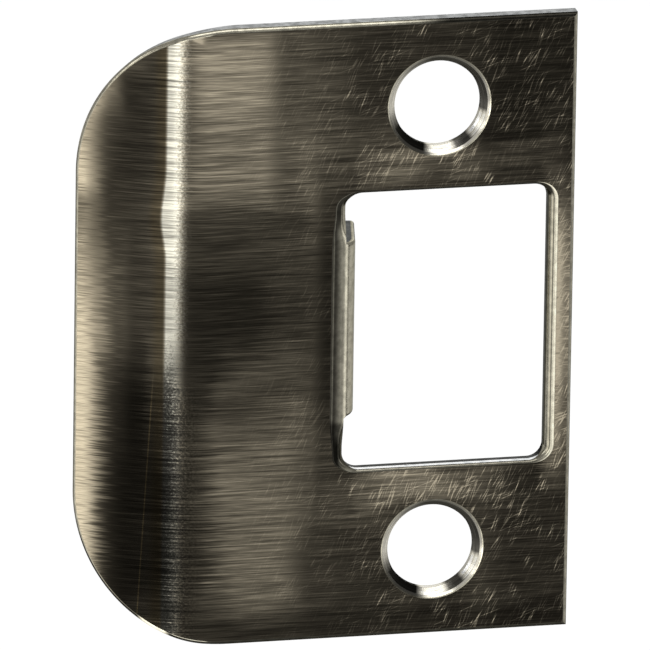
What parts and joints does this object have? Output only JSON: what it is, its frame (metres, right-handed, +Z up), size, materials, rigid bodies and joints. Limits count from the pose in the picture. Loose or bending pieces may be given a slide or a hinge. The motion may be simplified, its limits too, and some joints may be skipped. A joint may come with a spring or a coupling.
{
  "type": "door strike plate",
  "caption": "Flat steel strike plate with a curved full lip, a latch opening with a folded tongue, and countersunk screw holes above and below it.",
  "frame": {"origin": "on the flat back face that seats on the door jamb, midway between the two screw holes", "axes": "+Z up along the plate's height, -Y out of the front face towards the room, +Y into the jamb, the curved lip on the -X side"},
  "size_m": [0.0441, 0.0077, 0.0572],
  "materials": {
    "brushed_nickel": "antique nickel plating, brushed across the plate and lightly darkened"
  },
  "bodies": {
    "root": {"strike_plate": "brushed_nickel"}
  },
  "joints": []
}
